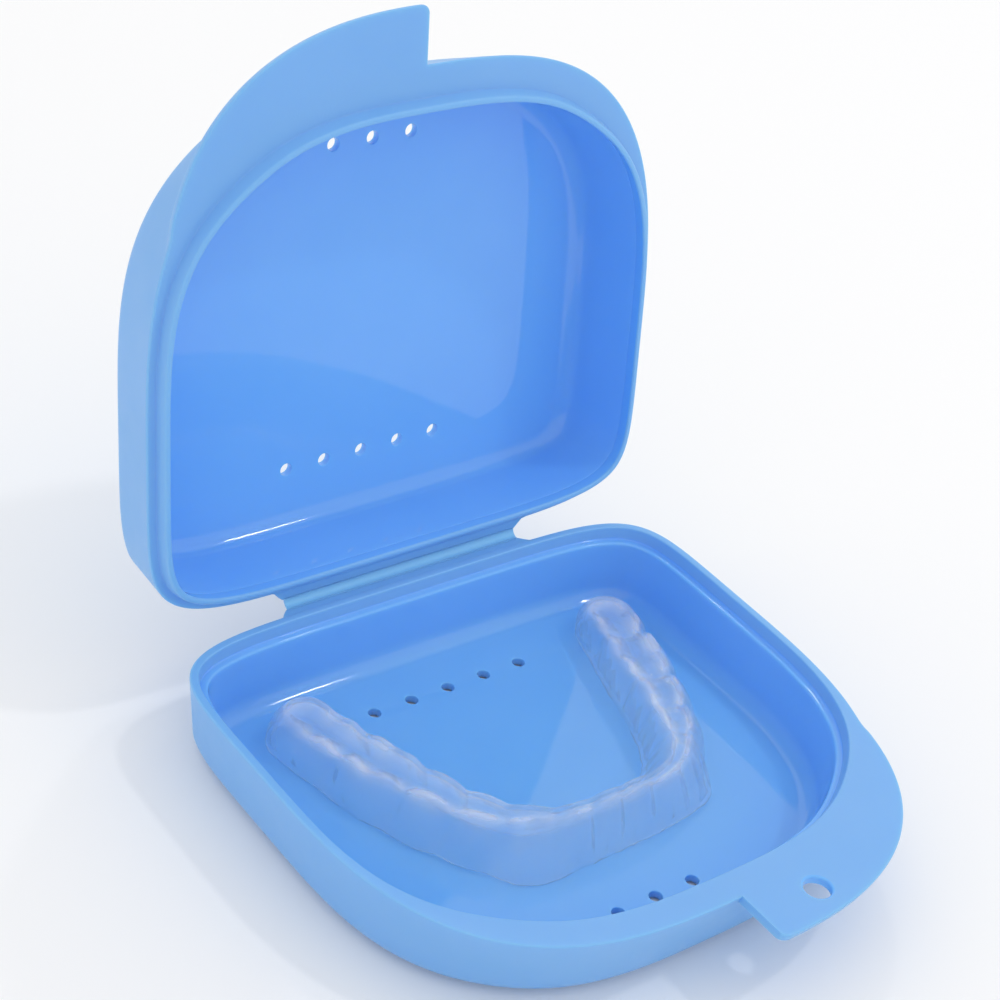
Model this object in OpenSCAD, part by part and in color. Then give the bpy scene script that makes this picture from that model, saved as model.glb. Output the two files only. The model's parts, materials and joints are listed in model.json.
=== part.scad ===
// Hinged storage case for a clear dental mouthguard, standing open.
// Units are millimetres. The origin is the centre of the base's flat underside, +Z is up,
// +X is to the right and the hinge is on the +Y side.

/* [Case outline] */
// Width of the case at its rim, the largest size across X
case_w = 80; // [70:0.5:95]
// Distance from the widest line forward to the front rim
front_reach = 42.75; // [38:0.25:48]
// Distance from the widest line back to the back rim
back_reach = 26.8; // [22:0.2:30]
// How square the front corners are (2 is an ellipse)
front_power = 2.9; // [2.3:0.1:4]
// How square the back corners are
back_power = 6.3; // [4:0.1:9]

/* [Case section] */
// Height of each half, from its flat face to the parting plane
half_h = 12.5; // [10:0.5:16]
// How far the side walls draw in from rim to floor
side_draft = 2.0; // [0.5:0.1:3]
// How far the front wall draws in from rim to floor
front_draft = 4.0; // [1:0.1:5]
// How far the back wall draws in from rim to floor
back_draft = 1.2; // [0.5:0.1:2]
// Radius of the rounded outer edge around the flat face
edge_r = 3.0; // [1:0.25:4]
// Radius of the fillet between floor and inner wall
floor_r = 2.2; // [1:0.1:3]
// Thickness of the floor
floor_t = 1.2; // [1:0.1:2]
// Thickness of the walls
wall_t = 1.9; // [1.5:0.1:2.4]

/* [Rim] */
// Width of the flat rim band at the sides and back
rim_band = 1.2; // [1:0.05:1.5]
// Width of the flat rim band at the front
front_band = 4.2; // [3:0.1:5]
// Depth of the rebate in the base, measured from the parting plane
rebate_depth = 2.0; // [1.5:0.1:3]
// Width of the ledge at the bottom of the rebate
ledge_w = 1.05; // [0.9:0.05:1.4]
// Height of the locating lip on the lid
lip_h = 1.75; // [1:0.05:2.5]
// Thickness of the locating lip
lip_t = 0.85; // [0.7:0.05:1]
// Sideways gap between the lip and the rebate when the case is shut
lip_gap = 0.15; // [0.1:0.05:0.25]
// Distance of each rim from the parting plane
rim_gap = 0.05; // [0.03:0.01:0.15]

/* [Finger tabs] */
// Reach of a tab to the side, from the middle of the case
tab_reach_x = 37.3; // [34:0.1:39]
// Reach of a tab to the front, from the middle of the case
tab_reach_y = 42.5; // [40:0.1:46]
// Distance of a tab's straight edge from the middle of the case
tab_start_x = 0.15; // [0.1:0.05:1]
// How square a tab's rounded outline is (2 is an ellipse)
tab_power = 2.5; // [2:0.1:3]
// Thickness of a tab
tab_t = 1.3; // [1:0.1:2]
// Diameter of the lanyard hole in the base's tab
lanyard_d = 3.6; // [2.5:0.1:4.5]
// Place of the lanyard hole across X
lanyard_x = 9.6; // [7:0.1:14]
// Place of the lanyard hole along Y
lanyard_y = -37.9; // [-39:0.1:-37]

/* [Vents] */
// Diameter of each vent hole
vent_d = 1.8; // [1:0.1:2.5]
// Spacing of the vent holes along a row
vent_pitch = 6.1; // [5:0.1:7]
// Place of the back row, which has five holes
back_row_y = 23.4; // [20:0.1:25]
// Place of the front row, which has three holes
front_row_y = -21.8; // [-24:0.1:-18]

/* [Hinge] */
// How far the lid is open: 0 is shut and 180 is laid flat
lid_open = 98.4; // [0:0.1:180]
// Distance from the back rim to the fold line
leaf_reach = 1.95; // [1.5:0.05:3]
// Length of the hinge at the fold line
fold_len = 38.2; // [25:0.1:45]
// Length of each hinge leaf where it joins the rim
leaf_root_len = 42.4; // [30:0.1:50]
// Thickness of each hinge leaf
leaf_t = 1.0; // [0.8:0.05:1.5]
// Thickness of the flexible web
web_t = 0.35; // [0.25:0.05:0.5]
// Distance from the fold line to the thick part of each leaf
web_reach = 0.5; // [0.4:0.05:0.7]
// Distance of the web's edges from the parting plane
web_depth = 0.32; // [0.25:0.01:0.4]

/* [Mouthguard] */
// Place of the mouthguard's middle line across X
guard_x = 1.1; // [-2:0.1:2]
// Place of the front teeth's middle line along Y
guard_front_y = -10.2; // [-13:0.1:-6]
// Half the width of the line of teeth at the front, if its corners were square
arch_front_half = 16.8; // [14:0.1:20]
// Half the width of the line of teeth at the back
arch_back_half = 26.6; // [22:0.1:27]
// Length of the arch from front to back
arch_len = 36.4; // [30:0.1:38]
// How square the front of the arch is (2 is round)
arch_power = 4.4; // [2:0.1:6]
// Height of the mouthguard over the front teeth
guard_h = 8.0; // [6:0.1:10.5]
// Height of the mouthguard over the last molars
guard_back_h = 6.4; // [5:0.1:9]
// Thickness of the formed sheet
sheet_t = 0.9; // [0.7:0.05:1.5]

/* [Hidden] */

wide_y = front_reach - (front_reach + back_reach) / 2;   // Y of the widest line
rim_back_y = wide_y + back_reach;
fold_y = rim_back_y + leaf_reach;
quarter_steps = 22;             // outline points in each quarter turn
case_blue = [0.45, 0.68, 0.95];
web_blue = [0.55, 0.72, 0.90];
clear_blue = [0.80, 0.88, 0.97, 0.55];

lid_tab_drop = 0.05;            // the lid's tab stays this far behind the lid's rim
tab_root_y = -8;                // a tab grows out of the rim in front of this line

web_gap = 0.03;                 // clear gap between the web and the lid's leaf
web_steps = 10;                 // straight steps along the bent web
web_bow = 0.55;                 // how far the bent web keeps each leaf's own direction

guard_gap = 0.05;               // the mouthguard lies this far above the floor
arch_stations = 64;             // sections along the mouthguard
cap_share = 0.05;               // share of the arch taken by each rounded end
end_wall_share = 0.01;          // share of the arch taken by each end's wall
foot_half_back = 5.0;           // half width at the floor, over the molars
foot_half_front = 4.0;          // half width at the floor, over the front teeth
top_half_back = 4.0;            // half width of the biting face, over the molars
top_half_front = 1.6;           // half width of the biting edge, over the front teeth
tooth_count = 14;               // teeth around the arch
tooth_swell = 0.05;             // how far each tooth swells the channel

function clamp01(v) = min(1, max(0, v));
function smooth(v) = let (s = clamp01(v)) s * s * (3 - 2 * s);
function signed_pow(v, p) = sign(v) * pow(abs(v), p);

// ---- Outline: two half superellipses that meet at the widest line ----

function outline_power(a) = sin(a) < 0 ? front_power : back_power;
function outline_reach(a) = sin(a) < 0 ? front_reach : back_reach;

function outline_point(a) =
    let (e = 2 / outline_power(a))
    [case_w / 2 * signed_pow(cos(a), e), wide_y + outline_reach(a) * signed_pow(sin(a), e)];

// Outward unit normal of the superellipse at the same parameter
function outline_normal(a) =
    let (p = 2 - 2 / outline_power(a),
         gx = signed_pow(cos(a), p) / (case_w / 2),
         gy = signed_pow(sin(a), p) / outline_reach(a),
         len = norm([gx, gy]))
    [gx / len, gy / len];

outline_angles = [for (i = [0 : 4 * quarter_steps - 1]) 90 * i / quarter_steps];

// A value that goes from side to front or to back as the outline turns
function by_side(n, side, front, back) =
    side + (front - side) * smooth((-n[1] - 0.05) / 0.85)
         + (back - side) * smooth((n[1] - 0.05) / 0.85);

// One ring of the outline, moved in by draft, by band and by an even inset, at height z
function ring(z, draft_share, inset, band_share = 0) = [
    for (a = outline_angles)
        let (n = outline_normal(a),
             draft = by_side(n, side_draft, front_draft, back_draft) * draft_share,
             extra = by_side(n, 0, front_band - rim_band, 0) * band_share,
             p = outline_point(a) - n * (draft + extra + inset))
        [p[0], p[1], z]
];

// A closed solid through a stack of equal rings, with its flat ends closed
module ring_solid(rings) {
    n = len(rings[0]);
    sides = [for (r = [0 : len(rings) - 2]) for (i = [0 : n - 1])
        let (j = (i + 1) % n)
        each [[r * n + i, (r + 1) * n + i, (r + 1) * n + j], [r * n + i, (r + 1) * n + j, r * n + j]]];
    first = [for (i = [0 : n - 1]) i];
    last = [for (i = [n - 1 : -1 : 0]) (len(rings) - 1) * n + i];
    polyhedron(points = [for (r = rings) each r], faces = concat([first], sides, [last]));
}

// ---- One half of the case, with its rim in the plane z = 0 and its flat face below ----

edge_turns = [0, 30, 60, 90];
rim_z = -rim_gap;
ledge_z = -rebate_depth;
ledge_in = rim_band + ledge_w;
inner_floor_z = floor_t - half_h;

// The share of the draft taken up at height z
function draft_at(z) = clamp01(-z / half_h);

// Rings up the outside, from the flat face to the rim
outer_rings = concat(
    [for (t = edge_turns)
        let (z = edge_r * (1 - cos(t)) - half_h)
        ring(z, draft_at(z), edge_r * (1 - sin(t)))],
    [ring(rim_z, 0, 0)]
);

// The front wall is thickest under its wide rim band and thins towards the floor
function band_at(z) = 1 - 0.75 * draft_at(z);

// Rings down the inside wall and round the fillet to the floor
function inner_rings(top_z, top_inset) = concat(
    [ring(top_z, draft_at(top_z), top_inset, 1)],
    [for (t = edge_turns)
        let (z = inner_floor_z + floor_r * (1 - sin(t)))
        ring(z, draft_at(z), wall_t + floor_r * (1 - cos(t)), band_at(z))]
);

// The half shell of the base: the rim steps down to a ledge inside
module base_shell() {
    ring_solid(concat(
        outer_rings,
        [ring(rim_z, 0, rim_band, 1), ring(ledge_z, 0, rim_band, 1)],
        inner_rings(ledge_z, ledge_in)
    ));
}

// The half shell of the lid: a locating lip stands up from the rim
module lid_shell() {
    lip_out = rim_band + lip_gap;
    lip_in = lip_out + lip_t;
    ring_solid(concat(
        outer_rings,
        [ring(rim_z, 0, lip_out, 1), ring(lip_h, 0, lip_out, 1), ring(lip_h, 0, lip_in, 1)],
        inner_rings(rim_z, lip_in)
    ));
}

// A thin tab on the +X side of the front, reaching past the rim. Its outer edge is a
// quarter superellipse and its root runs along the middle of the rim band.
module tab_plate(drop) {
    e = 2 / tab_power;
    outer_edge = [for (i = [0 : quarter_steps])
        let (a = 90 * i / quarter_steps)
        [tab_reach_x * pow(sin(a), e), tab_root_y - (tab_reach_y + tab_root_y) * pow(cos(a), e)]];
    root = [for (i = [0 : quarter_steps])
        let (a = -90 * i / quarter_steps, n = outline_normal(a))
        outline_point(a) - n * by_side(n, rim_band, front_band, rim_band) / 2];
    translate([0, 0, rim_z - drop - tab_t])
        linear_extrude(height = tab_t)
            polygon(concat(
                [[tab_start_x, -tab_reach_y]],
                [for (p = outer_edge) if (p[0] > tab_start_x) p],
                [for (p = root) if (p[1] < tab_root_y && p[0] > tab_start_x) p],
                [[tab_start_x, root[quarter_steps][1]]]
            ));
}

// The hinge leaf: a trapezoid behind the back rim
module leaf() {
    leaf_z = -web_depth - leaf_t + web_t / 2;
    root_y = rim_back_y - rim_band / 2;
    end_y = fold_y - web_reach;
    slope = (leaf_root_len - fold_len) / 2 / leaf_reach;
    root_half = leaf_root_len / 2;
    end_half = fold_len / 2 + slope * web_reach;
    translate([0, 0, leaf_z])
        linear_extrude(height = leaf_t)
            polygon([[-root_half, root_y], [root_half, root_y], [root_half, rim_back_y],
                     [end_half, end_y], [-end_half, end_y], [-root_half, rim_back_y]]);
}

// A row of vent holes through the flat face
module vent_row(count, y) {
    for (i = [0 : count - 1])
        translate([(i - (count - 1) / 2) * vent_pitch, y, -half_h - 1])
            cylinder(d = vent_d, h = floor_t + 2, $fn = 32);
}

module vents() {
    vent_row(5, back_row_y);
    vent_row(3, front_row_y);
}

module base_tray() {
    color(case_blue)
        translate([0, 0, half_h])
            difference() {
                union() {
                    base_shell();
                    tab_plate(0);
                    leaf();
                }
                vents();
                translate([lanyard_x, lanyard_y, rim_z - 2 * tab_t])
                    cylinder(d = lanyard_d, h = 3 * tab_t, $fn = 48);
            }
}

// Turns the lid's own frame over onto the base and opens it about the fold line
module about_fold() {
    translate([0, fold_y, half_h])
        rotate([-lid_open, 0, 0])
            translate([0, -fold_y, 0])
                rotate([0, 180, 0])
                    children();
}

module lid() {
    color(case_blue)
        about_fold()
            difference() {
                union() {
                    lid_shell();
                    tab_plate(lid_tab_drop);
                    leaf();
                }
                vents();
            }
}

// The thin flexible web between the two leaves, bent with the lid. Its middle line is a cubic
// curve that leaves the base's leaf along +Y and enters the lid's leaf along that leaf.
module hinge_web() {
    lid_dir = [-cos(lid_open), sin(lid_open)];
    lid_out = [sin(lid_open), cos(lid_open)];
    p0 = [-web_reach, -web_depth];
    p1 = lid_dir * (web_reach - web_gap) + lid_out * web_depth;
    c0 = p0 + [web_bow, 0];
    c1 = p1 - lid_dir * web_bow;
    shares = [for (i = [0 : web_steps]) i / web_steps];
    function middle(s) = let (r = 1 - s)
        p0 * r * r * r + c0 * 3 * r * r * s + c1 * 3 * r * s * s + p1 * s * s * s;
    function heading(s) = let (r = 1 - s, d = (c0 - p0) * r * r + (c1 - c0) * 2 * r * s + (p1 - c1) * s * s)
        d / norm(d);
    function side_point(s, half) = let (d = heading(s)) middle(s) + [-d[1], d[0]] * half;
    color(web_blue)
        translate([0, fold_y, half_h])
            rotate([90, 0, 90])
                translate([0, 0, -fold_len / 2])
                    linear_extrude(height = fold_len)
                        polygon(concat(
                            [for (s = shares) side_point(s, -web_t / 2)],
                            [for (i = [web_steps : -1 : 0]) side_point(shares[i], web_t / 2)]
                        ));
}

// ---- Mouthguard: an upside-down channel carried round the dental arch ----

// The line of the teeth: a superellipse whose width grows evenly from front to back.
// t runs from 0 at the left end to 1 at the right end
function arch_point(t) =
    let (a = 180 - 180 * t,
         radius = pow(pow(abs(cos(a)), arch_power) + pow(sin(a), arch_power), -1 / arch_power),
         behind = 1 - radius * sin(a),
         half = arch_front_half + (arch_back_half - arch_front_half) * behind)
    [guard_x + radius * cos(a) * half, guard_front_y + arch_len * behind];

function arch_side(t) =
    let (d = arch_point(min(1, t + 0.002)) - arch_point(max(0, t - 0.002)))
    [d[1], -d[0]] / norm(d);

// 0 at the back ends of the arch, 1 at the front teeth
function frontness(t) = smooth((sin(180 * t) - 0.45) / 0.5);

// Rounded ends: the section shrinks over the first and last share of the arch
function end_round(t) =
    let (s = clamp01(min(t, 1 - t) / cap_share))
    sqrt(max(0.02, 1 - (1 - s) * (1 - s)));

// One section of the channel, shrunk by inset, reaching down to z = low above the floor
function guard_section(t, inset, low) =
    let (f = frontness(t),
         r = end_round(t),
         swell = 1 + tooth_swell * cos(360 * tooth_count * t),
         foot = (foot_half_back + (foot_half_front - foot_half_back) * f) * swell * r - inset,
         top = (top_half_back + (top_half_front - top_half_back) * f) * swell * r - inset * 0.8,
         h = (guard_back_h + (guard_h - guard_back_h) * f) * (0.6 + 0.4 * r) - inset,
         half = [[foot, low], [foot, 0.5], [(foot + top) / 2 + 0.3, h * 0.6],
                 [top, h * 0.9], [top * 0.6, h]],
         p = arch_point(t),
         s = arch_side(t),
         z0 = floor_t + guard_gap)
    concat([for (q = half) [p[0] + s[0] * q[0], p[1] + s[1] * q[0], z0 + q[1]]],
           [for (i = [4 : -1 : 0]) let (q = half[i])
               [p[0] - s[0] * q[0], p[1] - s[1] * q[0], z0 + q[1]]]);

// Sections lie closer together towards the rounded ends
function station(i) = (1 - cos(180 * i / arch_stations)) / 2;

module guard_form(inset, low, start) {
    ring_solid([for (i = [arch_stations : -1 : 0])
        guard_section(start + (1 - 2 * start) * station(i), inset, low)]);
}

module mouthguard() {
    color(clear_blue)
        difference() {
            guard_form(0, 0, 0);
            guard_form(sheet_t, -1, end_wall_share);
        }
}

base_tray();
lid();
hinge_web();
mouthguard();
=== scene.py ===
"""A clear dental mouthguard in its hinged sky-blue plastic case, standing open.

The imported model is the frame. Every shape here is worked out in millimetres from a few driving
dimensions and from the frame, as whole numpy arrays, and put into meshes in metres.
"""
import json
import math

import bmesh
import bpy
import numpy as np
from mathutils import Matrix, Vector


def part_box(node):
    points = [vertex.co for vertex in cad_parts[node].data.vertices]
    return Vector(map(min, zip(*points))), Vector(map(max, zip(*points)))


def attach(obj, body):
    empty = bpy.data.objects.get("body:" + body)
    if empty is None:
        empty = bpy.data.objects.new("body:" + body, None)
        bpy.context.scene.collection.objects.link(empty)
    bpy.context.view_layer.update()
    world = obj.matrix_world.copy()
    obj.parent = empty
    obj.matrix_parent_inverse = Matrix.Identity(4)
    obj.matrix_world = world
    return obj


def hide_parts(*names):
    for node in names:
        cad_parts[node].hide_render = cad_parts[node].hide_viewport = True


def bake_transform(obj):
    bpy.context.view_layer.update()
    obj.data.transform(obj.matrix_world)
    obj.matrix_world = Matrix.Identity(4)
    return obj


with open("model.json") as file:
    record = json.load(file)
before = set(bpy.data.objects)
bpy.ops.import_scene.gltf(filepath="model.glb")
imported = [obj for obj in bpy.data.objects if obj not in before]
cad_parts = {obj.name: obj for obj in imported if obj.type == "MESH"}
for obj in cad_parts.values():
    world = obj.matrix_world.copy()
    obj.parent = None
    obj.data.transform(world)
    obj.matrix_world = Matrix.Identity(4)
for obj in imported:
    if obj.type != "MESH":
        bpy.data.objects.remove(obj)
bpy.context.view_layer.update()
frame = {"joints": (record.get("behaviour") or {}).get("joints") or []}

MM = 0.001

# ---------------------------------------------------------------- sizes from the frame, in mm

hinge = next(j for j in frame["joints"] if j["name"] == "lid_hinge")
FOLD_Y = hinge["pos_m"][1] / MM
HALF_H = hinge["pos_m"][2] / MM
LID_OPEN = math.radians(-hinge["range_deg"][0])

tray_lo, tray_hi = (np.array(corner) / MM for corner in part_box("base_tray"))
CASE_W = tray_hi[0] - tray_lo[0]
RIM_GAP = HALF_H - tray_hi[2]
TAB_FRONT = -tray_lo[1]

# ---------------------------------------------------------------- driving dimensions, in mm

LEAF_REACH = 1.95          # back rim to fold line
LEAF_GAP = 0.20            # fold line to the rounded end of each leaf
LEAF_STEP = 0.38           # how far the leaf's face lies below the rim
WEB_REACH = 0.5            # fold line to the thick part of each leaf
WEB_DEPTH = 0.32           # web edge to the parting plane
WEB_T = 0.35
LEAF_T = 1.0
FOLD_LEN = 38.2
LEAF_ROOT_LEN = 42.4

FRONT_REACH = 42.75        # widest line to the front rim
BACK_REACH = 26.8          # widest line to the back rim
FRONT_POWER = 2.9
BACK_POWER = 6.3
WIDE_Y = (FRONT_REACH - BACK_REACH) / 2

SIDE_DRAFT, FRONT_DRAFT, BACK_DRAFT = 2.0, 4.0, 1.2
EDGE_R = 3.0
FLOOR_R = 2.2
FLOOR_T = 1.2
WALL_T = 1.9

RIM_BAND = 1.2
FRONT_BAND = 4.2
REBATE_DEPTH = 2.0
LEDGE_W = 1.05
LIP_H = 1.75
LIP_T = 0.85
LIP_GAP = 0.15
CASE_COLUMNS = 430         # points round the case's outline, before those added at the notch
SOFT_EDGE = 0.3            # radius of the small rounded edges round rim, tab and lip

TAB_REACH_X = 37.3
TAB_START_X = 0.15
TAB_ROOT_Y = -8.0
TAB_POWER = 2.5
TAB_T = 1.3
TAB_CORNER_R = 1.0
LANYARD_R = 1.8
LANYARD_XY = (9.6, -37.9)

VENT_R = 0.9
VENT_FLARE = 0.12
VENT_PITCH = 6.1
BACK_ROW_Y, FRONT_ROW_Y = 23.4, -21.8


def smooth(v):
    """0 below 0, 1 above 1, and an S-shaped cubic between."""
    s = np.clip(v, 0.0, 1.0)
    return s * s * (3 - 2 * s)


def turn(start, end, count):
    """Angles in radians from start to end degrees."""
    return np.radians(np.linspace(start, end, count))


# ---------------------------------------------------------------- meshes

def new_piece(name, points, faces, materials, face_material=None):
    """A mesh object at the origin from points in mm and faces, with its materials."""
    mesh = bpy.data.meshes.new(name)
    mesh.from_pydata((np.asarray(points) * MM).tolist(), [], faces)
    for material in materials:
        mesh.materials.append(material)
    if face_material is not None:
        mesh.polygons.foreach_set("material_index", np.asarray(face_material, dtype=np.int32))
    mesh.validate()
    mesh.update()
    piece = bpy.data.objects.new(name, mesh)
    bpy.context.scene.collection.objects.link(piece)
    return piece


def grid_faces(rows, cols):
    """Quads of a grid of rows by cols points that closes on itself along the columns."""
    r, c = np.meshgrid(np.arange(rows - 1), np.arange(cols), indexing="ij")
    d = (c + 1) % cols
    quads = np.stack([r * cols + c, r * cols + d, (r + 1) * cols + d, (r + 1) * cols + c], axis=-1)
    return quads.reshape(-1, 4)


def soften(piece, hard_angle):
    """Smooth shading with edges sharper than hard_angle degrees kept hard."""
    mesh = piece.data
    mesh.polygons.foreach_set("use_smooth", np.ones(len(mesh.polygons), dtype=bool))
    mesh.set_sharp_from_angle(angle=math.radians(hard_angle))
    mesh.update()


def apply_modifiers(piece):
    """Bakes a piece's modifiers into its mesh."""
    baked = bpy.data.meshes.new_from_object(
        piece.evaluated_get(bpy.context.evaluated_depsgraph_get()))
    piece.modifiers.clear()
    piece.data = baked


# ---------------------------------------------------------------- the outline of the case

class Outline:
    """The rim seen from above: two half superellipses that meet at the widest line.

    Each column is a direction from the middle of the widest line. The radius there is
    1 / (|cos / a|^n + |sin / b|^n)^(1/n), and the normal is the gradient of that sum.
    """

    def __init__(self, column_count):
        fine = np.linspace(-math.pi / 2, 1.5 * math.pi, 20001)
        x, y = self.points(fine)
        length = np.concatenate([[0], np.cumsum(np.hypot(np.diff(x), np.diff(y)))])
        even = np.interp(np.linspace(0, length[-1], column_count + 1)[:-1], length, fine)
        corner = TAB_CORNER_R * np.array([0, 0.01, 0.05, 0.11, 0.2, 0.31, 0.45, 0.61, 0.8, 1])
        near_x = np.concatenate([[0, TAB_START_X - 0.02], TAB_START_X + corner])
        notch = -math.pi / 2 + np.arcsin(near_x / FRONT_REACH)
        spare = even[(even > notch[-1] + 0.004) & (even < 1.5 * math.pi - 0.004)]
        self.angle = np.concatenate([notch, spare])
        self.x, self.y = self.points(self.angle)
        power, reach = self.shape(self.angle)
        gx = np.sign(self.x) * np.abs(self.x / (CASE_W / 2)) ** (power - 1) / (CASE_W / 2)
        dy = self.y - WIDE_Y
        gy = np.sign(dy) * np.abs(dy / reach) ** (power - 1) / reach
        size = np.hypot(gx, gy)
        self.nx, self.ny = gx / size, gy / size
        self.draft = self.by_side(SIDE_DRAFT, FRONT_DRAFT, BACK_DRAFT)
        self.band = self.by_side(0.0, FRONT_BAND - RIM_BAND, 0.0)

    @staticmethod
    def shape(angle):
        """The superellipse's power and reach, which differ between front and back."""
        front = np.sin(angle) < 0
        return np.where(front, FRONT_POWER, BACK_POWER), np.where(front, FRONT_REACH, BACK_REACH)

    def points(self, angle):
        """The outline's x and y at each angle, as a superellipse in polar form."""
        power, reach = self.shape(angle)
        c, s = np.cos(angle), np.sin(angle)
        radius = (np.abs(c / (CASE_W / 2)) ** power + np.abs(s / reach) ** power) ** (-1 / power)
        return radius * c, WIDE_Y + radius * s

    def by_side(self, side, front, back):
        """A value that goes from side to front or to back as the outline turns."""
        return (side + (front - side) * smooth((-self.ny - 0.05) / 0.85)
                + (back - side) * smooth((self.ny - 0.05) / 0.85))

    def ring(self, z, inset, band_share=0.0, out=0.0):
        """The outline at height z, moved in by draft, band and inset, and out along the tab.

        Below the rim the wall drafts in, and so does the lip that stands above it, so that the
        lip keeps its gap all the way down the other half's wall.
        """
        z = np.broadcast_to(z, self.x.shape)
        draft_share = np.clip(np.abs(z) / HALF_H, 0, 1)
        move = self.draft * draft_share + self.band * band_share + inset
        x = self.x - self.nx * move + self.out_x * out
        y = self.y - self.ny * move + self.out_y * out
        return np.stack([x, y, z], axis=-1)

    def set_flaps(self):
        """How far the finger tab and the hinge leaf reach past the rim, and in what direction.

        The tab's outer edge is a quarter superellipse about the middle, cut square at the front
        and rounded at its corner. The leaf is a trapezoid behind the back rim.
        """
        dx, dy = self.x, self.y - TAB_ROOT_Y
        away = np.hypot(dx, dy)
        reach_y = TAB_FRONT + TAB_ROOT_Y
        edge = ((np.abs(dx / away) / TAB_REACH_X) ** TAB_POWER
                + (np.abs(dy / away) / reach_y) ** TAB_POWER) ** (-1 / TAB_POWER)
        on = (self.x >= TAB_START_X - 0.001) & (dy < 0)
        gap = edge - away
        melt = 0.5
        self.tab = np.where(on, 0.5 * (gap + np.sqrt(gap ** 2 + melt ** 2)) - 0.02, 0.0)
        self.tab = np.where(on & (gap > -3), np.maximum(self.tab, 0), 0.0)
        from_corner = np.clip((self.x - TAB_START_X) / TAB_CORNER_R, 0, 1)
        rounding = TAB_CORNER_R * (1 - np.sqrt(1 - (1 - from_corner) ** 2))
        self.tab = np.where(on, np.maximum(self.tab - rounding, 0), 0.0)
        slope = (LEAF_ROOT_LEN - FOLD_LEN) / 2 / LEAF_REACH
        leaf = np.clip((LEAF_ROOT_LEN / 2 - np.abs(self.x)) / slope, 0, LEAF_REACH - LEAF_GAP)
        back = (self.y > WIDE_Y) & (leaf > 0)
        self.leaf = np.where(back, leaf, 0.0)
        self.out_x = np.where(back, 0.0, dx / away)
        self.out_y = np.where(back, 1.0, dy / away)
        self.flap = self.tab + self.leaf


outline = Outline(CASE_COLUMNS)
outline.set_flaps()


# ---------------------------------------------------------------- one half of the case

def disc(ring, z, fractions):
    """Rings inside a ring, shrunk towards its middle, all at height z."""
    middle = np.array([0.0, ring[:, 1].mean()])
    rings = []
    for share in fractions:
        xy = middle + share * (ring[:, :2] - middle)
        rings.append(np.column_stack([xy, np.full(len(xy), z)]))
    return rings


def flap_rings(rim_z):
    """Rings from the outer wall round the tab and leaf to the rim's top.

    Where there is no flap they climb the wall and round the rim's outer edge. Where there is
    one, they run out under it, round its edge and back over its top. In between, the two paths
    are mixed.
    """
    flap = outline.flap
    is_leaf = smooth(outline.leaf / 0.5)
    top = rim_z - LEAF_STEP * is_leaf
    under = np.where(outline.leaf > 0, -WEB_DEPTH - LEAF_T + WEB_T / 2, rim_z - TAB_T)
    mixed = smooth(flap / 0.7)
    r = SOFT_EDGE
    r_low = np.minimum(SOFT_EDGE, flap / 2)
    low = rim_z - TAB_T
    r_rim = SOFT_EDGE
    rings = []
    for share in np.linspace(0, 1, 9):
        rings.append(flap_ring(share * (flap - r_low), under, 0.0,
                               low + (rim_z - r_rim - low) * 0.7 * share, mixed))
    for i, t in enumerate(turn(-90, 0, 5)[1:]):
        rings.append(flap_ring(flap - r_low + r_low * np.cos(t), under + r_low + r_low * np.sin(t), 0.0,
                               low + (rim_z - r_rim - low) * (0.7 + 0.075 * (i + 1)), mixed))
    for t in turn(0, 90, 7):
        rings.append(flap_ring(flap - r + r * np.cos(t), top - r + r * np.sin(t),
                               r_rim * (math.cos(t) - 1), rim_z - r_rim + r_rim * math.sin(t), mixed))
    for share in np.linspace(0, 1, 13)[1:]:
        out = (1 - share) * (flap - r) - share * (r_rim + 0.15)
        step = smooth((0.12 - out) / (r_rim + 0.12))
        rings.append(flap_ring(out, top + (rim_z - top) * step, -r_rim - share * 0.15, rim_z, mixed))
    return rings


def flap_ring(out, z, plain_out, plain_z, mixed):
    """One ring between a flap's path and the plain rim's path."""
    z = mixed * z + (1 - mixed) * plain_z
    out = mixed * out + (1 - mixed) * plain_out
    return outline.ring(z, -np.minimum(out, 0), 0.0, np.maximum(out, 0))


def inner_wall(z_top, inset_top, radius_top):
    """Rings from a top inner edge down the wall, round the fillet and across the floor."""
    floor_z = FLOOR_T - HALF_H
    band_at = lambda z: 1 - 0.75 * np.clip(-z / HALF_H, 0, 1)
    rings = []
    for t in turn(0, 90, 5):
        z = z_top - radius_top * (1 - math.cos(t))
        rings.append(outline.ring(z, inset_top - radius_top * (1 - math.sin(t)), band_at(z)))
    z_start, z_end = z_top - radius_top, floor_z + FLOOR_R
    for share in np.linspace(0, 1, 10)[1:]:
        z = z_start + (z_end - z_start) * share
        inset = inset_top + (WALL_T - inset_top) * share
        rings.append(outline.ring(z, inset, band_at(z)))
    for t in turn(0, 90, 12)[1:]:
        z = z_end - FLOOR_R * math.sin(t)
        rings.append(outline.ring(z, WALL_T + FLOOR_R * (1 - math.cos(t)), band_at(z)))
    return rings + disc(rings[-1], floor_z, np.linspace(1, 0.04, 14)[1:])


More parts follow.
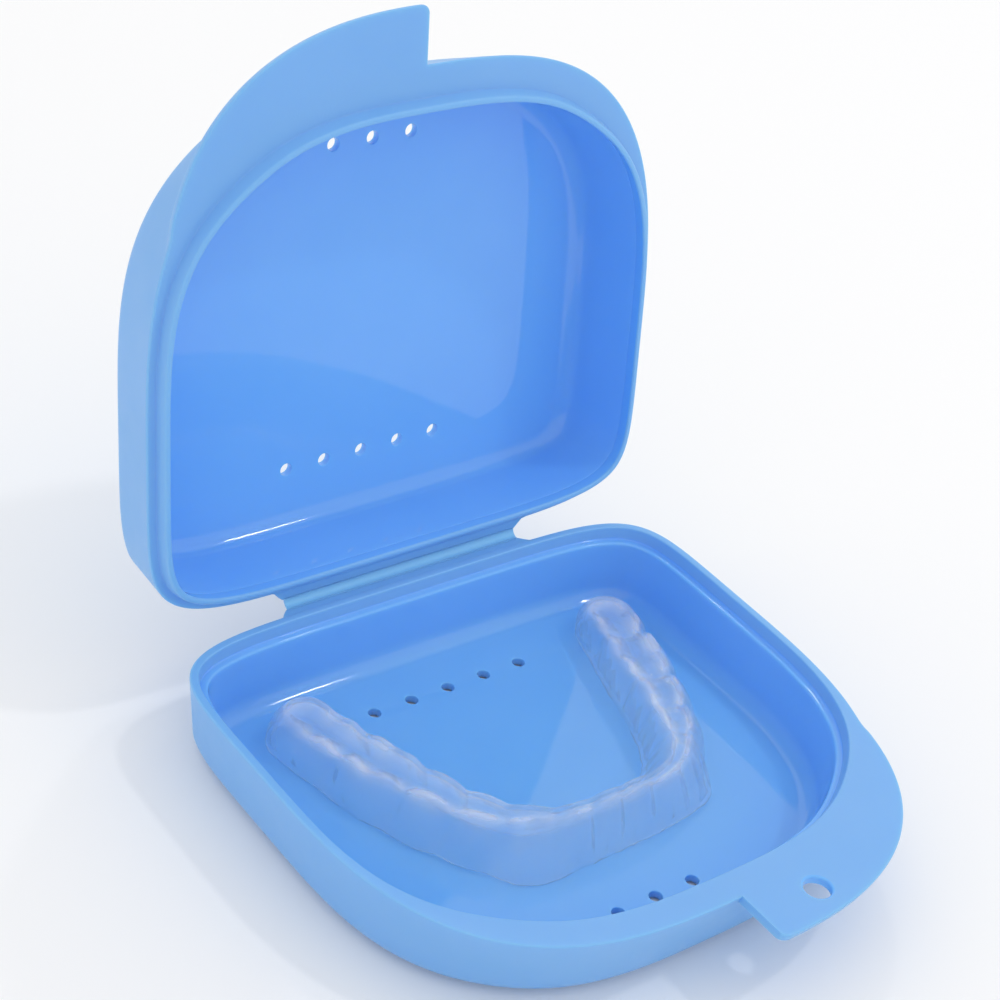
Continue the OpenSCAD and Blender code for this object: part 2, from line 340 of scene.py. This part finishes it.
def shell(name, rim_rings, materials):
    """A closed half of the case: underside, outer wall, rim and inside, with its rim at z = 0."""
    edge = []
    for t in turn(0, 90, 10):
        z = EDGE_R * (1 - math.cos(t)) - HALF_H
        edge.append(outline.ring(z, EDGE_R * (1 - math.sin(t))))
    wall_top = -RIM_GAP - TAB_T
    wall = [outline.ring(z, 0.0) for z in np.linspace(EDGE_R - HALF_H, wall_top, 10)[1:-1]]
    outside = disc(edge[0], -HALF_H, np.linspace(0.04, 1, 14)[:-1]) + edge + wall
    outside += flap_rings(-RIM_GAP)
    inside = rim_rings
    rings = np.array(outside + inside)
    rows, cols = rings.shape[:2]
    points = rings.reshape(-1, 3)
    faces = grid_faces(rows, cols).tolist()
    start = (rows - 1) * cols
    poles = [[i for i in range(cols - 1, -1, -1)], [start + i for i in range(cols)]]
    inner_row = len(outside) + GLOSS_FROM[name] - 1
    face_material = np.repeat((np.arange(rows - 1) >= inner_row).astype(int), cols).tolist()
    return new_piece(name, points, faces + poles, materials, face_material + [0, 1])


def base_rim():
    """Rings of the base's rim: the inner edge, the rebate and its ledge, then the inside."""
    inner = RIM_BAND
    rings = []
    for t in turn(0, 90, 5):
        z = -RIM_GAP - 0.2 * (1 - math.cos(t))
        rings.append(outline.ring(z, inner - 0.2 * (1 - math.sin(t)), 1.0))
    for t in turn(0, 90, 5):
        z = -REBATE_DEPTH + 0.25 * (1 - math.sin(t))
        rings.append(outline.ring(z, inner + 0.25 * (1 - math.cos(t)), 1.0))
    return rings + inner_wall(-REBATE_DEPTH, RIM_BAND + LEDGE_W, 0.35)


def lid_rim():
    """Rings of the lid's rim: the shoulder, the standing lip round its top, then the inside."""
    lip_out = RIM_BAND + LIP_GAP
    lip_in = lip_out + LIP_T
    rings = [outline.ring(-RIM_GAP, lip_out - 0.4, 1.0)]
    for t in turn(0, 90, 4):
        z = -RIM_GAP + 0.15 * (1 - math.cos(t))
        rings.append(outline.ring(z, lip_out - 0.15 * (1 - math.sin(t)), 1.0))
    r = 0.3
    for t in turn(0, 90, 6):
        z = LIP_H - r * (1 - math.sin(t))
        rings.append(outline.ring(z, lip_out + r * (1 - math.cos(t)), 1.0))
    for t in turn(0, 90, 6):
        z = LIP_H - r * (1 - math.cos(t))
        rings.append(outline.ring(z, lip_in - r * (1 - math.sin(t)), 1.0))
    return rings + inner_wall(-RIM_GAP - 0.2, lip_in, 0.05)


# The ring of each rim at which the glossy inside begins.
GLOSS_FROM = {"case_base": 6, "case_lid": 17}


def round_cutter(x, y, z_low, z_high, radius, flare):
    """Rings of a round cutter whose ends open out in a quarter circle, in the shell's frame."""
    around = np.linspace(0, 2 * math.pi, 33)[:-1]
    steps = [(radius + flare * 1.6, z_low - flare)]
    steps += [(radius + flare * (1 - math.sin(t)), z_low + flare * (1 - math.cos(t)))
              for t in turn(0, 90, 5)]
    steps += [(radius + flare * (1 - math.cos(t)), z_high - flare * (1 - math.sin(t)))
              for t in turn(0, 90, 5)]
    steps += [(radius + flare * 1.6, z_high + flare)]
    return np.array([np.column_stack([x + r * np.cos(around), y + r * np.sin(around),
                                      np.full(len(around), z)]) for r, z in steps])


def cutters(holes, materials):
    """One mesh of round cutters, each closed at both ends."""
    points, faces = [], []
    for hole in holes:
        rings = round_cutter(*hole)
        rows, cols = rings.shape[:2]
        base = sum(len(p) for p in points)
        points.append(rings.reshape(-1, 3))
        faces += (grid_faces(rows, cols) + base).tolist()
        faces.append([base + i for i in range(cols - 1, -1, -1)])
        faces.append([base + (rows - 1) * cols + i for i in range(cols)])
    return new_piece("cutters", np.concatenate(points), faces, materials, [1] * len(faces))


def drill(piece, holes, materials):
    """Cuts round holes with softened mouths through a half of the case."""
    tool = cutters(holes, materials)
    cut = piece.modifiers.new("holes", "BOOLEAN")
    cut.operation = "DIFFERENCE"
    cut.solver = "EXACT"
    cut.object = tool
    apply_modifiers(piece)
    bpy.data.objects.remove(tool)


def vent_holes():
    """The two rows of vents: five at the back and three at the front."""
    rows = [(5, BACK_ROW_Y), (3, FRONT_ROW_Y)]
    return [((i - (count - 1) / 2) * VENT_PITCH, y, -HALF_H, FLOOR_T - HALF_H, VENT_R, VENT_FLARE)
            for count, y in rows for i in range(count)]


def place(piece, matrix):
    """Moves a finished mesh's points by a matrix in mm and leaves its object at the origin."""
    scale = Matrix.Scale(MM, 4) @ matrix @ Matrix.Scale(1 / MM, 4)
    piece.data.transform(scale)
    piece.data.update()


def lid_placement():
    """Turns the lid's own frame over onto the base and opens it about the fold line."""
    to_fold = Matrix.Translation((0, FOLD_Y, HALF_H))
    opening = Matrix.Rotation(-LID_OPEN, 4, "X")
    back = Matrix.Translation((0, -FOLD_Y, 0))
    return to_fold @ opening @ back @ Matrix.Rotation(math.pi, 4, "Y")


# ---------------------------------------------------------------- materials

def material(name):
    """A new node material: its nodes, links and main shader."""
    made = bpy.data.materials.new(name)
    made.use_nodes = True
    nodes, links = made.node_tree.nodes, made.node_tree.links
    return made, nodes, links, nodes["Principled BSDF"]


def noise(nodes, links, scale, detail, coords):
    """A noise texture on the piece's Object coordinates."""
    made = nodes.new("ShaderNodeTexNoise")
    made.inputs["Scale"].default_value = scale
    made.inputs["Detail"].default_value = detail
    links.new(coords.outputs["Object"], made.inputs["Vector"])
    return made


def ramp(nodes, links, source, low, high, position=(0.0, 1.0)):
    """A colour ramp between two colours, driven by a value."""
    made = nodes.new("ShaderNodeValToRGB")
    made.color_ramp.elements[0].position = position[0]
    made.color_ramp.elements[0].color = (*low, 1)
    made.color_ramp.elements[1].position = position[1]
    made.color_ramp.elements[1].color = (*high, 1)
    links.new(source, made.inputs["Fac"])
    return made


def grey(value):
    """The same value in all three channels."""
    return (value, value, value)


def case_plastic(name, low, high, rough_low, rough_high, bump_height, subsurface):
    """Moulded polypropylene: clouded sky blue, with fine texture and uneven gloss."""
    made, nodes, links, shader = material(name)
    coords = nodes.new("ShaderNodeTexCoord")
    cloud = noise(nodes, links, 45, 3, coords)
    tint = ramp(nodes, links, cloud.outputs["Fac"], low, high, (0.3, 0.7))
    links.new(tint.outputs["Color"], shader.inputs["Base Color"])
    patches = noise(nodes, links, 160, 4, coords)
    gloss = ramp(nodes, links, patches.outputs["Fac"], grey(rough_low), grey(rough_high), (0.3, 0.7))
    links.new(gloss.outputs["Color"], shader.inputs["Roughness"])
    grain = noise(nodes, links, 2600, 2, coords)
    bump = nodes.new("ShaderNodeBump")
    bump.inputs["Strength"].default_value = 0.25
    bump.inputs["Distance"].default_value = bump_height * MM
    links.new(grain.outputs["Fac"], bump.inputs["Height"])
    links.new(bump.outputs["Normal"], shader.inputs["Normal"])
    shader.inputs["Subsurface Weight"].default_value = subsurface
    shader.inputs["Subsurface Radius"].default_value = (0.5, 0.8, 1.0)
    shader.inputs["Subsurface Scale"].default_value = 2.5 * MM
    shader.inputs["IOR"].default_value = 1.49
    return made


def clear_sheet():
    """Formed clear sheet: glossy and nearly clear, with painted sheen: milkier and less clear in a band
    along the crests of each face, standing in for the pale glare there.
    """
    made, nodes, links, shader = material("clear_sheet")
    coords = nodes.new("ShaderNodeTexCoord")
    haze = noise(nodes, links, 260, 4, coords)
    tint = ramp(nodes, links, haze.outputs["Fac"], (0.96, 0.97, 1.0), (1.0, 1.0, 1.0), (0.3, 0.6))
    links.new(tint.outputs["Color"], shader.inputs["Base Color"])
    # Painted sheen along the crests: less clear, more opaque and rougher in that band.
    painted_sheen = nodes.new("ShaderNodeAttribute")
    painted_sheen.attribute_name = "painted_sheen"
    spread = nodes.new("ShaderNodeMath")
    spread.operation = "MULTIPLY"
    links.new(painted_sheen.outputs["Fac"], spread.inputs[0])
    links.new(haze.outputs["Fac"], spread.inputs[1])
    clear_share = ramp(nodes, links, spread.outputs["Value"], grey(0.86), grey(0.62), (0.05, 0.6))
    links.new(clear_share.outputs["Color"], shader.inputs["Transmission Weight"])
    body = ramp(nodes, links, spread.outputs["Value"], grey(0.40), grey(0.80), (0.05, 0.6))
    links.new(body.outputs["Color"], shader.inputs["Alpha"])
    gloss = ramp(nodes, links, spread.outputs["Value"], grey(0.03), grey(0.12), (0.1, 0.6))
    links.new(gloss.outputs["Color"], shader.inputs["Roughness"])
    ripple = noise(nodes, links, 520, 3, coords)
    bump = nodes.new("ShaderNodeBump")
    bump.inputs["Strength"].default_value = 0.45
    bump.inputs["Distance"].default_value = 0.12 * MM
    links.new(ripple.outputs["Fac"], bump.inputs["Height"])
    links.new(bump.outputs["Normal"], shader.inputs["Normal"])
    shader.inputs["IOR"].default_value = 1.16
    return made


satin = case_plastic("case_satin", (0.185, 0.44, 0.82), (0.205, 0.46, 0.84), 0.36, 0.48, 0.03, 0.4)
# The inside's glossy finish is its own; its colour, lighter and bluer than the satin outside, is painted
# light that brightens the inside of the case.
gloss = case_plastic("case_gloss", (0.170, 0.460, 0.95), (0.190, 0.480, 0.97), 0.02, 0.05, 0.004, 0.4)
# Painted light: the hinge web's plastic is set lighter and bluer than the case's outside, brightening
# the shaded crease of the fold.
web_painted_light = case_plastic("hinge_painted_light", (0.19, 0.50, 0.94), (0.23, 0.53, 0.95), 0.4, 0.55, 0.04, 0.4)
clear = clear_sheet()

# ---------------------------------------------------------------- the case

case_materials = [satin, gloss]

case_base = shell("case_base", base_rim(), case_materials)
lanyard = (*LANYARD_XY, -RIM_GAP - TAB_T, -RIM_GAP, LANYARD_R, SOFT_EDGE)
drill(case_base, vent_holes() + [lanyard], case_materials)
place(case_base, Matrix.Translation((0, 0, HALF_H)))
soften(case_base, 35)
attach(case_base, "base")
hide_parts("base_tray")

case_lid = shell("case_lid", lid_rim(), case_materials)
drill(case_lid, vent_holes(), case_materials)
place(case_lid, lid_placement())
soften(case_lid, 35)
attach(case_lid, "lid")
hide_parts("lid")


# ---------------------------------------------------------------- the hinge web

def web_piece():
    """The flexible web: a thin band carried along X.

    Its middle line is a cubic Bezier curve that leaves the base's leaf along +Y and enters the
    lid's leaf along that leaf, and it is thinnest at the fold.
    """
    lid_dir = np.array([-math.cos(LID_OPEN), math.sin(LID_OPEN)])
    lid_out = np.array([math.sin(LID_OPEN), math.cos(LID_OPEN)])
    root = WEB_REACH + 0.2
    bow = 0.6
    p0 = np.array([-root, -WEB_DEPTH - 0.12])
    p3 = lid_dir * root + lid_out * (WEB_DEPTH + 0.12)
    p1, p2 = p0 + [bow, 0], p3 - lid_dir * bow
    u = np.linspace(0, 1, 17)[:, None]
    v = 1 - u
    middle = p0 * v ** 3 + 3 * p1 * u * v ** 2 + 3 * p2 * u ** 2 * v + p3 * u ** 3
    run = (p1 - p0) * v ** 2 + 2 * (p2 - p1) * u * v + (p3 - p2) * u ** 2
    run /= np.hypot(run[:, :1], run[:, 1:])
    side = np.column_stack([-run[:, 1], run[:, 0]])
    thick = WEB_T / 2 * (0.72 + 0.28 * np.abs(2 * u - 1) ** 2)
    loop = np.concatenate([middle + side * thick, (middle - side * thick)[::-1]])
    across = np.linspace(-0.5, 0.5, 61) * (FOLD_LEN + 0.3)
    x = np.repeat(across[:, None], len(loop), axis=1)
    points = np.stack([x, FOLD_Y + loop[None, :, 0] + 0 * x, HALF_H + loop[None, :, 1] + 0 * x], axis=-1)
    rows, cols = points.shape[:2]
    faces = grid_faces(rows, cols).tolist()
    last = (rows - 1) * cols
    faces += [list(range(cols - 1, -1, -1)), [last + i for i in range(cols)]]
    # The web takes the case plastic painted lighter, standing in for light in the shaded crease.
    piece = new_piece("hinge_strip", points.reshape(-1, 3), faces, [web_painted_light])
    soften(piece, 40)
    start, end = ((0, (FOLD_Y + q[0]) * MM, (HALF_H + q[1]) * MM) for q in (p0, p3))
    return piece, start, end


hinge_strip, web_start, web_end = web_piece()
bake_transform(hinge_strip)
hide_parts("hinge_web")


# ---------------------------------------------------------------- the mouthguard

ARCH_X, ARCH_FRONT_Y, ARCH_LEN = 1.1, -10.2, 36.4
ARCH_FRONT_HALF, ARCH_BACK_HALF, ARCH_POWER = 16.8, 26.6, 4.4
ARCH_END = 46.4            # arc length from the middle to the centre of each rounded end
TOOTH_MIDDLE = 1.4         # arc length from the arch's middle to the gap of the front teeth
# Where the sheet was trimmed wide: arc length, width and how far its foot stands out.
WIDE_TRIMS = ((-12.0, 3.2, 1.2), (14.0, 2.6, 1.3))
SHEET_T = 0.7              # the sheet, thinned by forming
MARGIN_GAP = 0.07          # tray's floor to the lowest point of the trimmed edge's middle line
SIDE_COLUMNS, CAP_COLUMNS = 520, 34    # columns along each side and round each end
WALL_ROWS, EDGE_ROWS = 40, 3           # rows down each face and round the trimmed edge
MOLARS_FROM, MOLARS_BLEND = 15, 6      # where the molars' deeper forms set in along the arch
SHEEN_BAND_AT, SHEEN_BAND_SPREAD = 0.25, 0.2       # middle and spread of the painted sheen band along the crests, as shares down a face
INNER_DETAIL = 0.3         # the tongue side shows this share of the valleys between teeth
FOLD_LIMIT = 0.9           # the foot stays within this share of the arch's own radius

# One row per tooth from the middle outwards: width along the arch, half width of the biting
# edge, depth of the middle groove, height, outer swell, inner swell, outer foot, inner foot,
# and cusps on each side.
TEETH = np.array([
    (5.0, 0.95, 0.00, 7.7, 0.18, 0.30, 3.3, 4.6, 1),
    (5.4, 0.95, 0.00, 7.6, 0.22, 0.30, 3.5, 4.5, 1),
    (6.3, 1.25, 0.05, 8.0, 0.45, 0.40, 4.2, 4.2, 1),
    (6.5, 2.20, 0.60, 7.1, 0.75, 0.50, 5.0, 3.9, 1),
    (6.7, 2.55, 0.80, 6.9, 0.75, 0.55, 5.5, 3.9, 1),
    (10.2, 3.35, 1.20, 6.3, 0.85, 0.60, 5.6, 4.3, 2),
    (9.8, 3.20, 1.10, 5.8, 0.75, 0.60, 5.1, 4.2, 2),
])


def arch_points(angle):
    """The line of the teeth: a superellipse whose width grows evenly from front to back."""
    c = np.sign(np.cos(angle)) * np.abs(np.cos(angle)) ** (2 / ARCH_POWER)
    behind = 1 - np.abs(np.sin(angle)) ** (2 / ARCH_POWER)
    half = ARCH_FRONT_HALF + (ARCH_BACK_HALF - ARCH_FRONT_HALF) * behind
    return ARCH_X + c * half, ARCH_FRONT_Y + ARCH_LEN * behind


def arch_line():
    """Arc length from the middle (left is negative), x, y and heading along the arch."""
    angle = np.linspace(math.pi, 0, 40001)
    x, y = arch_points(angle)
    step = np.hypot(np.diff(x), np.diff(y))
    length = np.concatenate([[0], np.cumsum(step)])
    length -= length[len(length) // 2]
    even = np.linspace(length[0], length[-1], 4001)
    x, y = np.interp(even, length, x), np.interp(even, length, y)
    return even, x, y, np.unwrap(np.arctan2(np.gradient(y), np.gradient(x)))


def guard_columns(side_count, cap_count):
    """Columns once round the guard: outer side left to right, right end, inner side, left end.

    Returns each column's arc position, centre, outward direction, share of the outer side, and
    how sharply the arch bends there (1 / mm).
    """
    even, ax, ay, heading = arch_line()
    s = np.linspace(-ARCH_END, ARCH_END, side_count)
    fan = np.linspace(0, math.pi, cap_count + 2)[1:-1]
    arc = np.concatenate([s, np.full(cap_count, ARCH_END), s[::-1], np.full(cap_count, -ARCH_END)])
    zero, half_turn = np.zeros(side_count), np.full(side_count, math.pi)
    turned = np.concatenate([zero, fan, half_turn, math.pi - fan[::-1] + math.pi])
    x, y = np.interp(arc, even, ax), np.interp(arc, even, ay)
    facing = np.interp(arc, even, heading) - math.pi / 2 + turned
    bend = np.interp(arc, even, np.abs(np.gradient(heading, even)))
    return arc, x, y, np.cos(facing), np.sin(facing), 0.5 + 0.5 * np.cos(turned), bend


def guard_piece():
    """The formed sheet: a closed thin shell over the teeth.

    Each half section is a clamped cubic B-spline from the middle of the biting face, over its
    crest and down the side to the trimmed margin. Its control points move with the tooth: q
    runs from -1 to 1 across a tooth, swells go as 1 - |q|^3, and the valleys between teeth
    deepen as q nears either end. Inside the arch's corners the foot f is drawn in to
    f / (1 + (f * bend / 0.9)^4)^(1/4), so it never folds over itself. The inner face is the
    same section moved in by the sheet.
    """
    arc, cx, cy, dx, dy, outer, bend = guard_columns(SIDE_COLUMNS, CAP_COLUMNS)
    bounds = np.concatenate([[0], np.cumsum(TEETH[:, 0])])
    along = np.clip(np.abs(arc - TOOTH_MIDDLE), 0, bounds[-1] - 0.001)
    index = np.searchsorted(bounds, along, side="right") - 1
    q = 2 * (along - bounds[index]) / TEETH[index, 0] - 1
    middles = (bounds[1:] + bounds[:-1]) / 2
    blended = [np.interp(along, middles, TEETH[:, k]) for k in range(1, 8)]
    top_half, groove, height, swell_out, swell_in, foot_out, foot_in = blended
    cusps = TEETH[index, 8]
    foot_in = foot_in / (1 + (foot_in * bend / FOLD_LIMIT) ** 4) ** 0.25
    valley = smooth((np.abs(q) - 0.55) / 0.45) * (INNER_DETAIL + (1 - INNER_DETAIL) * outer)
    crest = np.where(cusps > 1.5, -np.cos(2 * math.pi * q), np.cos(math.pi * q))
    molar = smooth((along - MOLARS_FROM) / MOLARS_BLEND)
    cusp_h = 0.12 + 0.33 * molar
    wander = 0.10 * np.sin(1.3 * arc + 0.7) + 0.07 * np.sin(2.9 * arc + 2.1)
    swell = (swell_out * outer + swell_in * (1 - outer)) * (1 - np.abs(q) ** 3)
    dip = (0.35 + 0.25 * molar) * valley
    foot = foot_out * outer + foot_in * (1 - outer) + wander * 0.6
    for at, width, more in WIDE_TRIMS:
        foot = foot + more * outer * np.exp(-((arc - at) / width) ** 2)
    side = foot - top_half
    floor_z = FLOOR_T + MARGIN_GAP
    scallop = (0.15 + 0.35 * molar) * np.abs(q) ** 2 * outer + 0.25 * (1 - np.cos(arc * 0.21 + outer))
    top = floor_z + height
    one = np.ones_like(arc)

    def net(inside):
        """Control offsets and heights of the section, moved in by the sheet where inside is 1."""
        t = SHEET_T * inside
        offsets = [
            0 * one,
            top_half * 0.42,
            top_half * (0.86 - 0.12 * valley) - t * 0.6,
            top_half * (1.12 - 0.16 * valley) - t * 0.9,
            top_half + 0.38 * side + swell - dip * 0.9 - t,
            top_half + 0.70 * side + swell * 0.9 - dip * 0.8 - t,
            top_half + 0.90 * side + swell * 0.3 - dip * 0.3 - t,
            foot - t,
        ]
        heights = [
            top - groove - 0.15 * valley - t,
            top - groove * 0.75 + 0.25 * crest * cusp_h - 0.3 * valley - t,
            top + crest * cusp_h - dip - t,
            top - 0.75 - dip * 1.1 - t * 0.5,
            floor_z + height * 0.66,
            floor_z + height * 0.36,
            floor_z + height * 0.14 + scallop * 0.8,
            floor_z + scallop,
        ]
        return np.maximum(np.array(offsets), 0), np.array(heights)

    outside = [spline(net(0)[k], WALL_ROWS) for k in (0, 1)]
    inside = [spline(net(1)[k], WALL_ROWS)[::-1] for k in (0, 1)]
    turned = turn(-180, 0, EDGE_ROWS + 2)[1:-1, None]
    middle_o, middle_z = foot - SHEET_T / 2, floor_z + scallop
    edge = [middle_o + np.cos(turned) * SHEET_T / 2, middle_z + np.sin(turned) * SHEET_T / 4]
    offset = np.concatenate([outside[0], edge[0][::-1], inside[0]])
    z = np.concatenate([outside[1], edge[1][::-1], inside[1]])
    points = np.stack([cx + dx * offset, cy + dy * offset, z], axis=-1)
    rows, cols = points.shape[:2]
    piece = new_piece("clear_guard", points.reshape(-1, 3), grid_faces(rows, cols).tolist(), [clear])
    down = np.linspace(0, 1, WALL_ROWS)
    row_share = np.concatenate([down, np.ones(EDGE_ROWS), down[::-1]])
    # Painted sheen: a band along the crests that clear_sheet makes milkier and less clear.
    painted_sheen_band = np.exp(-((row_share - SHEEN_BAND_AT) / SHEEN_BAND_SPREAD) ** 2)
    painted_sheen_band = np.repeat(painted_sheen_band[:, None], cols, axis=1)
    painted_sheen = piece.data.attributes.new("painted_sheen", "FLOAT", "POINT")
    painted_sheen.data.foreach_set("value", painted_sheen_band.reshape(-1).astype(np.float32))
    welded = bmesh.new()
    welded.from_mesh(piece.data)
    bmesh.ops.remove_doubles(welded, verts=welded.verts, dist=0.004 * MM)
    bmesh.ops.recalc_face_normals(welded, faces=welded.faces)
    welded.to_mesh(piece.data)
    welded.free()
    soften(piece, 70)
    return piece


def spline(control, count):
    """Points along clamped cubic B-splines, one per column, by the Cox-de Boor rule."""
    n = len(control)
    knots = np.concatenate([[0] * 3, np.linspace(0, 1, n - 2), [1] * 3])
    u = np.linspace(0, 1, count)
    u[-1] = 1 - 1e-9
    basis = [((knots[i] <= u) & (u < knots[i + 1])).astype(float) for i in range(n + 3)]
    for degree in (1, 2, 3):
        raised = []
        for i in range(n + 3 - degree):
            left, right = knots[i + degree] - knots[i], knots[i + degree + 1] - knots[i + 1]
            a = (u - knots[i]) / left * basis[i] if left > 0 else 0
            b = (knots[i + degree + 1] - u) / right * basis[i + 1] if right > 0 else 0
            raised.append(a + b)
        basis = raised
    return np.array(basis).T @ control


clear_guard = guard_piece()
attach(clear_guard, "mouthguard")
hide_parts("mouthguard")

# ---------------------------------------------------------------- floor, light and camera

def plain(name, colour, roughness):
    """One even colour, for the studio floor."""
    made, nodes, links, shader = material(name)
    shader.inputs["Base Color"].default_value = (*colour, 1)
    shader.inputs["Roughness"].default_value = roughness
    return made


bpy.ops.mesh.primitive_plane_add(size=6, location=(0, 0, -0.0003))
floor = bpy.context.object
floor.name = "studio_floor"
floor.data.materials.append(plain("studio_white", (0.95, 0.95, 0.955), 0.7))

world = bpy.data.worlds.new("studio")
bpy.context.scene.world = world
world.use_nodes = True
world.node_tree.nodes["Background"].inputs["Color"].default_value = (1, 1, 1, 1)
world.node_tree.nodes["Background"].inputs["Strength"].default_value = 0.93


def softbox(name, direction, distance, width, height, power):
    """An area light at a distance along a direction from the middle of the case, facing it."""
    light = bpy.data.lights.new(name, "AREA")
    light.shape = "RECTANGLE"
    light.size, light.size_y = width, height
    light.energy = power
    lamp = bpy.data.objects.new(name, light)
    bpy.context.scene.collection.objects.link(lamp)
    towards = Vector(direction).normalized()
    lamp.location = Vector((0, 0.01, 0.03)) + towards * distance
    lamp.rotation_mode = "QUATERNION"
    lamp.rotation_quaternion = towards.to_track_quat("Z", "Y")
    return lamp


softbox("front_lamp", (0.46, -0.27, 0.84), 0.90, 0.05, 0.05, 0.7)
softbox("back_lamp", (0.40, 0.53, 0.75), 0.90, 0.04, 0.04, 0.3)

CAMERA_AIM = Vector((9.87, 30.69, 25.0))
CAMERA_DISTANCE = 313.5
CAMERA_AZIMUTH, CAMERA_ELEVATION, CAMERA_ROLL = (math.radians(a) for a in (-42.473, 34.14, 10.459))

camera = bpy.data.objects.new("camera", bpy.data.cameras.new("camera"))
bpy.context.scene.collection.objects.link(camera)
camera.data.sensor_width = 36
camera.data.lens = 83.25
camera.data.clip_start, camera.data.clip_end = 0.01, 20
turned = (Matrix.Rotation(CAMERA_AZIMUTH, 4, "Z")
          @ Matrix.Rotation(math.pi / 2 - CAMERA_ELEVATION, 4, "X")
          @ Matrix.Rotation(CAMERA_ROLL, 4, "Z"))
back = turned.to_3x3() @ Vector((0, 0, 1))
camera.matrix_world = Matrix.Translation((CAMERA_AIM + back * CAMERA_DISTANCE) * MM) @ turned
bpy.context.scene.camera = camera

bpy.context.scene.view_settings.view_transform = "Standard"
